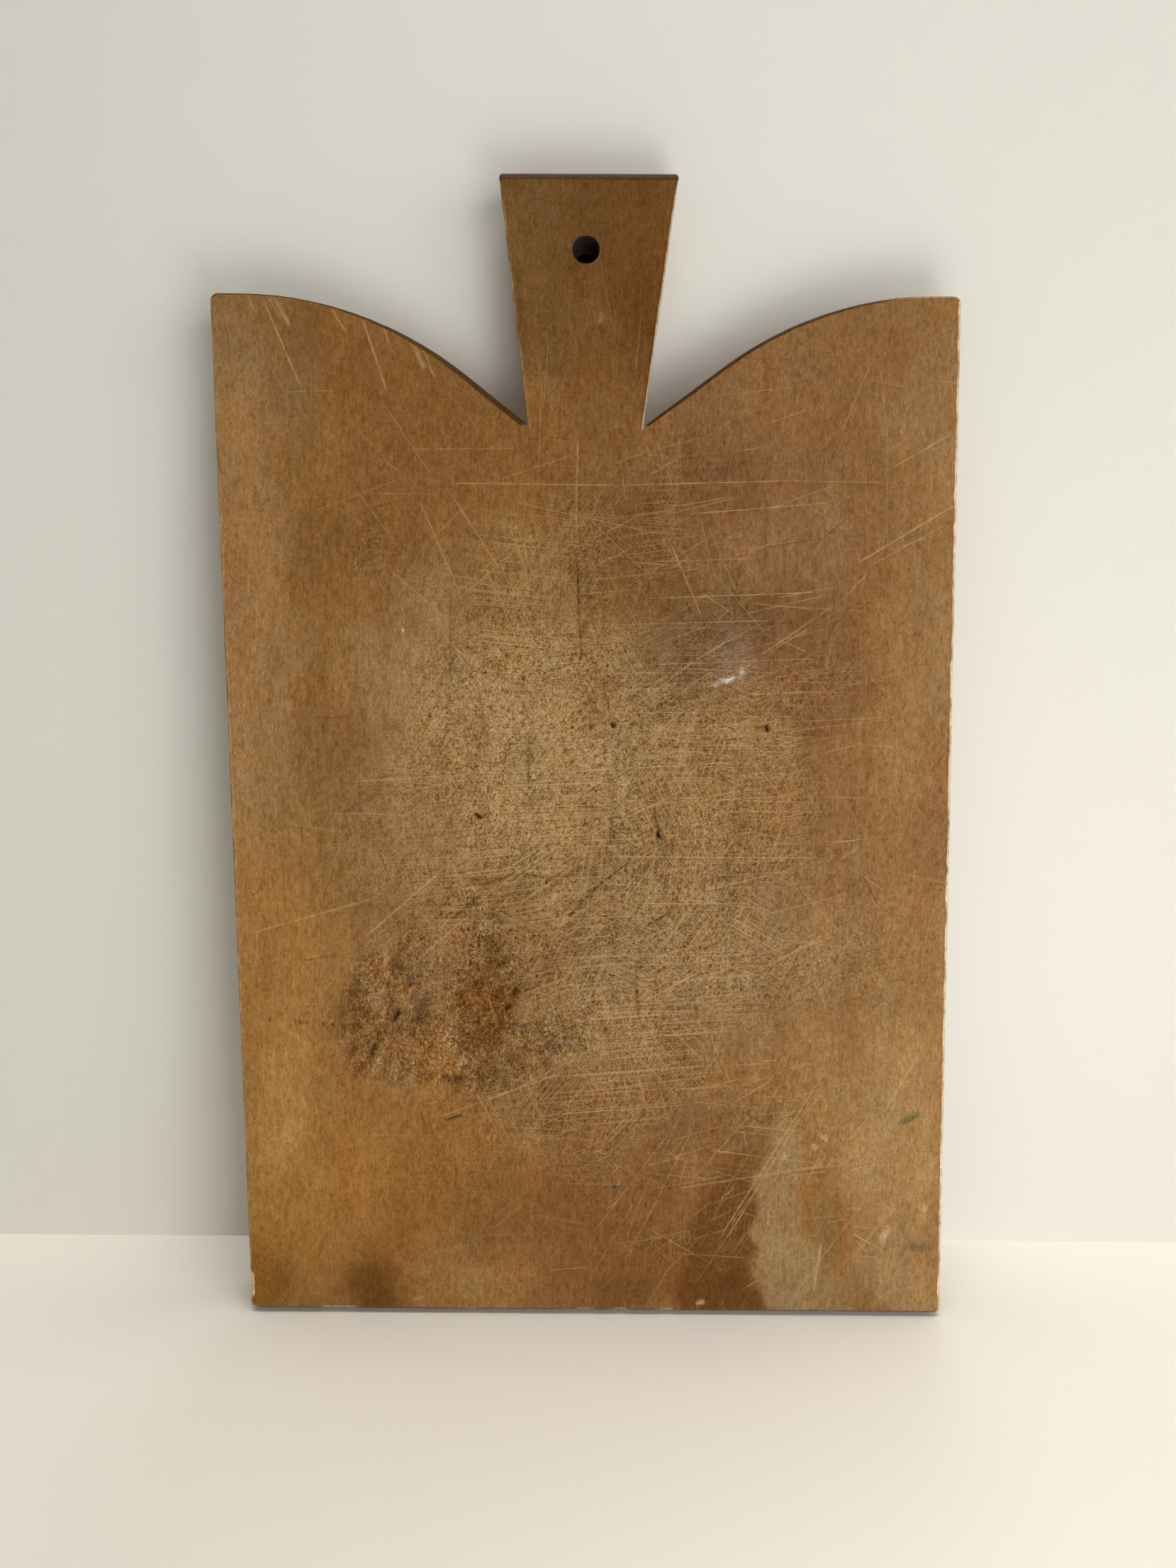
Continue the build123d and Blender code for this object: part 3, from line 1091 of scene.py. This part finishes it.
def scratch_field(recipe, flat, kind, seed):
    """Noise drawn out into fine straight lines: its high places are pale scratches, its low ones dark."""
    place = recipe.add("VectorMath", {0: flat, 1: (seed * 31.7, seed * 17.3, 0)}, operation="ADD")
    patch_inputs = {"Vector": place, "Scale": 1 / kind.patch}
    patch = recipe.add("TexVoronoi", patch_inputs, "Color", voronoi_dimensions="2D")
    luck = recipe.add("SeparateColor", {0: patch})
    spread = math.radians(kind.spread)
    turn = recipe.times_plus(luck, -spread, spread / 2 - math.radians(kind.angle))
    turned = recipe.add("VectorRotate", {"Vector": place, "Angle": turn}, rotation_type="Z_AXIS")
    shrink = (1 / kind.length, 1 / kind.width, 1)
    drawn_out = recipe.add("VectorMath", {0: turned, 1: shrink}, operation="MULTIPLY")
    shuffle = recipe.add("VectorMath", {0: patch, 1: (57, 91, 0)}, operation="MULTIPLY")
    own = recipe.add("VectorMath", {0: drawn_out, 1: shuffle}, operation="ADD")
    return recipe.add("TexNoise", {"Vector": own, "Scale": 1.0, "Detail": 0.0}, noise_dimensions="2D")


LINE_RAMP = 0.1  # over how much of the noise a scratch comes in


def pale_and_dark(recipe, flat, kinds, first_seed):
    """The strongest pale line and dark line at each place, from all these kinds of scratch."""
    pale, dark = [], []
    for seed, kind in enumerate(kinds, first_seed):
        line = scratch_field(recipe, flat, kind, seed)
        pale.append(recipe.rise(line, kind.rare, kind.rare + LINE_RAMP, 0, kind.strength))
        dark.append(recipe.rise(line, 1 - kind.rare, 1 - kind.rare - LINE_RAMP, 0, kind.strength))
    return recipe.greatest(*pale), recipe.greatest(*dark)


# Features per millimetre across the board, through it and up it, along the grain.
GRAIN_SCALE = (0.5, 0.5, 0.2)
STREAK_SCALE = (1.4, 1.4, 0.08)
SPECKLE_SCALE = (0.95, 0.95, 0.75)
GRAIN_CONTRAST, WORN_GRAIN_CONTRAST = 2.2, 2.3
HAIR_CONTRAST, WORN_HAIR_CONTRAST = 0.02, 0.3
SPECKLE_CONTRAST, WORN_SPECKLE_ADDS, EATEN_SPECKLE_ADDS = 0.9, 3.0, 3.2
STREAK_CONTRAST = 0.5
STREAK_MEAN = 0.25  # what the streaks add on average, taken off again
CRUMB_SHARE = 0.45  # how much the crumbs show where the wood is most eaten
CRUMB_CONTRAST = 1.7
REDDENING = (0.8, 1.1, 1.9)  # what is darker is redder: how far each of red, green and blue moves
STAIN_STARTS, STAIN_FULL = -0.75, -1.0  # the paleness at which a dirty cut starts to fill, and is full
CUT_SHARE = 0.9  # how fully a cut shows its own colour
GRAIN_HEIGHT = 0.15
SPECKLE_HEIGHT, EATEN_SPECKLE_HEIGHT = 0.15, 1.2


def old_wood():
    """Worn hardwood: flecked grain, a scoured felt of fine hairs, crossing scratches, dirt in cuts, and
    painted shade inside the hanging hole.
    """
    material = bpy.data.materials.new("old_wood")
    recipe = Recipe(material)
    solid = recipe.scaled(recipe.add("TexCoord", {}, "Object"), 1 / MM, 1 / MM, 1 / MM)
    x, z = (recipe.add("SeparateXYZ", {0: solid}, axis) for axis in "XZ")
    flat = recipe.add("CombineXYZ", {"X": x, "Y": z})
    wear, eaten, pale = (recipe.attribute(name) for name in ("wear", "eaten", "pale"))

    # light and dark: grain, streaks along it, fuzz, and crumbs where the wood is eaten away
    grain = recipe.noise(recipe.scaled(solid, *GRAIN_SCALE), 4, 1.0)
    streak = recipe.noise(recipe.scaled(solid, *STREAK_SCALE), 2, 0.8)
    speckle = recipe.noise(recipe.scaled(solid, *SPECKLE_SCALE), 3, 1.0)
    speckle = recipe.maths("SUBTRACT", speckle, 0.5)
    pale_hair, dark_hair = pale_and_dark(recipe, flat, HAIRS, 21)
    hair = recipe.maths("SUBTRACT", pale_hair, dark_hair)
    crumbly = recipe.rise(eaten, 0.1, 0.9, 0, CRUMB_SHARE)
    pale_crumb = recipe.times(recipe.rise(speckle, 0.06, 0.16), crumbly)
    dark_crumb = recipe.times(recipe.rise(speckle, -0.06, -0.16), crumbly)
    grain_share = recipe.rise(wear, 0, 1, GRAIN_CONTRAST, WORN_GRAIN_CONTRAST)
    shade = recipe.times(recipe.maths("SUBTRACT", grain, 0.5), grain_share)
    shade = recipe.maths("SUBTRACT", shade, STREAK_MEAN)
    shade = recipe.times_plus(streak, STREAK_CONTRAST, shade)
    hair_share = recipe.rise(wear, 0, 1, HAIR_CONTRAST, WORN_HAIR_CONTRAST)
    shade = recipe.times_plus(hair, hair_share, shade)
    speckle_share = recipe.times_plus(eaten, EATEN_SPECKLE_ADDS, SPECKLE_CONTRAST)
    speckle_share = recipe.times_plus(wear, WORN_SPECKLE_ADDS, speckle_share)
    shade = recipe.times_plus(speckle, speckle_share, shade)
    shade = recipe.times_plus(pale_crumb, CRUMB_CONTRAST, shade)
    channels = {axis: recipe.times_plus(shade, share, 1.0) for axis, share in zip("XYZ", REDDENING)}
    shade = recipe.add("CombineXYZ", channels)
    colour = recipe.mix(1.0, recipe.attribute("tone", "Color"), shade, "MULTIPLY")

    # cuts and scratches
    pale_line, dark_line = pale_and_dark(recipe, flat, SCRATCHES, 1)
    scored = recipe.times(recipe.rise(wear, 0, 1, 0.03, 0.6), recipe.rise(eaten, 0, 1, 1.0, 0.3))
    pale_cut = recipe.greatest(recipe.times(pale_line, scored), pale)
    dark_cut = recipe.greatest(recipe.times(dark_line, scored), recipe.times(pale, -1.0), dark_crumb)
    colour = recipe.mix(recipe.times(dark_cut, CUT_SHARE), colour, (*DARK_WOOD, 1))
    colour = recipe.mix(recipe.times(pale_cut, CUT_SHARE), colour, (*PALE_WOOD, 1))
    filled = recipe.rise(pale, STAIN_STARTS, STAIN_FULL)
    # near-black for the dirt that fills the dirtiest cuts, and painted shade on the hanging hole's sides
    colour = recipe.mix(recipe.greatest(recipe.attribute("painted_shade"), filled), colour, (*DIRT_AND_SHADE, 1))

    roughened = recipe.rise(eaten, 0, 1, SPECKLE_HEIGHT, EATEN_SPECKLE_HEIGHT)
    height = recipe.maths("ADD", recipe.times(grain, GRAIN_HEIGHT), recipe.times(speckle, roughened))
    bump = recipe.add("Bump", {"Strength": 1.0, "Distance": MM, "Height": height})
    roughness = recipe.rise(wear, 0, 1, 0.5, 0.75)
    surface = {"Base Color": colour, "Roughness": roughness, "Normal": bump, "Specular IOR Level": 0.07}
    recipe.add("OutputMaterial", {"Surface": recipe.add("BsdfPrincipled", surface)})
    return material


# ---------------- the stage, camera and light

WALL_LEAN = math.radians(3.8)
WALL_FOOT = 0.0475  # from the board's middle to the foot of the wall
FLOOR_SLOPE = math.radians(5.6)  # the board stands on its back edge, leaning a little
STAGE_REACH = 2.0
SPOT = 0.008  # half the side of the dark spot behind the hanging hole
SPOT_ACROSS, SPOT_HEIGHT = -0.003, 0.444
SPOT_OFF_WALL = 0.001
CAMERA_DISTANCE = 0.4837  # in front of the cutting face
CAMERA_HEIGHT = 0.2805
CAMERA_ACROSS = 0.0008
TILT_DOWN = math.radians(5.88)
TURN_LEFT = math.radians(0.23)
ROLL = math.radians(0.29)
LENS = 26.85
WARM_WHITE = (1.0, 0.98, 0.95)


def sheet(name, corners, material):
    """A flat four-cornered stage piece."""
    mesh = bpy.data.meshes.new(name)
    mesh.from_pydata(corners, [], [(0, 1, 2, 3)])
    mesh.materials.append(material)
    piece = bpy.data.objects.new(name, mesh)
    bpy.context.scene.collection.objects.link(piece)


def plaster(name, colour, one_sided):
    """A plain pale matt finish; one_sided lets the camera look through its back, and light through it."""
    material = bpy.data.materials.new(name)
    recipe = Recipe(material)
    shader = recipe.add("BsdfDiffuse", {"Color": (*colour, 1)})
    if one_sided:
        behind = recipe.add("NewGeometry", {}, "Backfacing")
        shadow = recipe.add("LightPath", {}, "Is Shadow Ray")
        behind = recipe.maths("MAXIMUM", behind, shadow)
        clear = recipe.add("BsdfTransparent", {})
        shader = recipe.add("MixShader", {0: behind, 1: shader, 2: clear})
    recipe.add("OutputMaterial", {"Surface": shader})
    return material


def make_stage():
    """A pale floor that passes under the board's back edge, a pale wall that leans over it, and a painted
    shadow behind the hanging hole.
    """
    reach = STAGE_REACH
    slope = math.tan(FLOOR_SLOPE)
    front_drop = slope * (reach + HALF_THICKNESS * MM)
    back_rise = slope * (reach - HALF_THICKNESS * MM)
    floor = [
        (-reach, -reach, -front_drop),
        (reach, -reach, -front_drop),
        (reach, reach, back_rise),
        (-reach, reach, back_rise),
    ]
    sheet("floor", floor, plaster("floor_paint", (0.95, 0.91, 0.82), False))
    lean = math.tan(WALL_LEAN) * reach
    wall = [
        (-reach, WALL_FOOT, 0),
        (reach, WALL_FOOT, 0),
        (reach, WALL_FOOT - lean, reach),
        (-reach, WALL_FOOT - lean, reach),
    ]
    sheet("wall", wall, plaster("wall_paint", (0.83, 0.82, 0.77), True))
    # a painted shadow: a black sheet just off the wall, so that the hanging hole reads as black
    y = WALL_FOOT - math.tan(WALL_LEAN) * SPOT_HEIGHT - SPOT_OFF_WALL
    left, right = SPOT_ACROSS - SPOT, SPOT_ACROSS + SPOT
    bottom, top = SPOT_HEIGHT - SPOT, SPOT_HEIGHT + SPOT
    spot = [(left, y, bottom), (right, y, bottom), (right, y, top), (left, y, top)]
    sheet("painted_shadow_spot", spot, plaster("painted_shadow_paint", (0.005, 0.005, 0.005), True))


def make_camera():
    data = bpy.data.cameras.new("camera")
    data.lens = LENS
    data.sensor_width = 36
    data.clip_start = 0.01
    camera = bpy.data.objects.new("camera", data)
    bpy.context.scene.collection.objects.link(camera)
    level = Vector((-math.sin(TURN_LEFT), math.cos(TURN_LEFT), 0))
    ahead = level * math.cos(TILT_DOWN) - Vector((0, 0, math.sin(TILT_DOWN)))
    right = Vector((math.cos(TURN_LEFT), math.sin(TURN_LEFT), 0))
    up = right.cross(ahead)
    rolled_right = right * math.cos(ROLL) + up * math.sin(ROLL)
    rolled_up = up * math.cos(ROLL) - right * math.sin(ROLL)
    place = Vector((CAMERA_ACROSS, -HALF_THICKNESS * MM - CAMERA_DISTANCE, CAMERA_HEIGHT))
    matrix = Matrix((rolled_right, rolled_up, -ahead)).transposed().to_4x4()
    matrix.translation = place
    camera.matrix_world = matrix
    bpy.context.scene.camera = camera


def lamp(name, place, target, size, power, colour=WARM_WHITE):
    """A square soft light at a place, pointed at a target."""
    data = bpy.data.lights.new(name, "AREA")
    data.size = size
    data.energy = power
    data.color = colour
    light = bpy.data.objects.new(name, data)
    light.location = place
    light.rotation_euler = (Vector(target) - Vector(place)).to_track_quat("-Z", "Y").to_euler()
    light.visible_camera = False
    bpy.context.scene.collection.objects.link(light)


def make_light():
    """Pale surroundings, brighter to the right and dim overhead. A broad soft key low on the right, a light
    over the floor, a small fill from below in front, and one that reaches the back through the wall."""
    lamp("key", (1.1, -1.3, 0.15), (0, 0, 0.22), 1.6, 15.3, (1.0, 0.985, 0.97))
    lamp("overhead", (0.1, -0.28, 1.7), (0.1, -0.3, 0), 0.8, 13)
    lamp("behind", (0.3, 1.3, 0.4), (0, 0, 0.24), 0.8, 7, (1.0, 0.99, 0.96))
    lamp("low_fill", (0.15, -0.42, 0.05), (0, 0, 0.42), 0.25, 1.0)
    world = bpy.data.worlds.new("studio")
    recipe = Recipe(world)
    coordinates = recipe.add("TexCoord", {}, "Generated")
    towards_right, upward = (recipe.add("SeparateXYZ", {0: coordinates}, axis) for axis in "XZ")
    side_inputs = {"Value": towards_right, "From Min": -1.0, "To Min": 0.3, "To Max": 0.54}
    strength = recipe.times(recipe.add("MapRange", side_inputs), recipe.rise(upward, -0.2, 0.6, 1.0, 0.1))
    background = recipe.add("Background", {"Color": (1.0, 0.99, 0.96, 1), "Strength": strength})
    recipe.add("OutputWorld", {"Surface": background})
    bpy.context.scene.world = world


board = make_board()
board.data.materials.append(old_wood())
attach(board, "root")
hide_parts("plank")
make_stage()
make_camera()
make_light()
bpy.context.scene.view_settings.view_transform = "Standard"
bpy.context.view_layer.update()
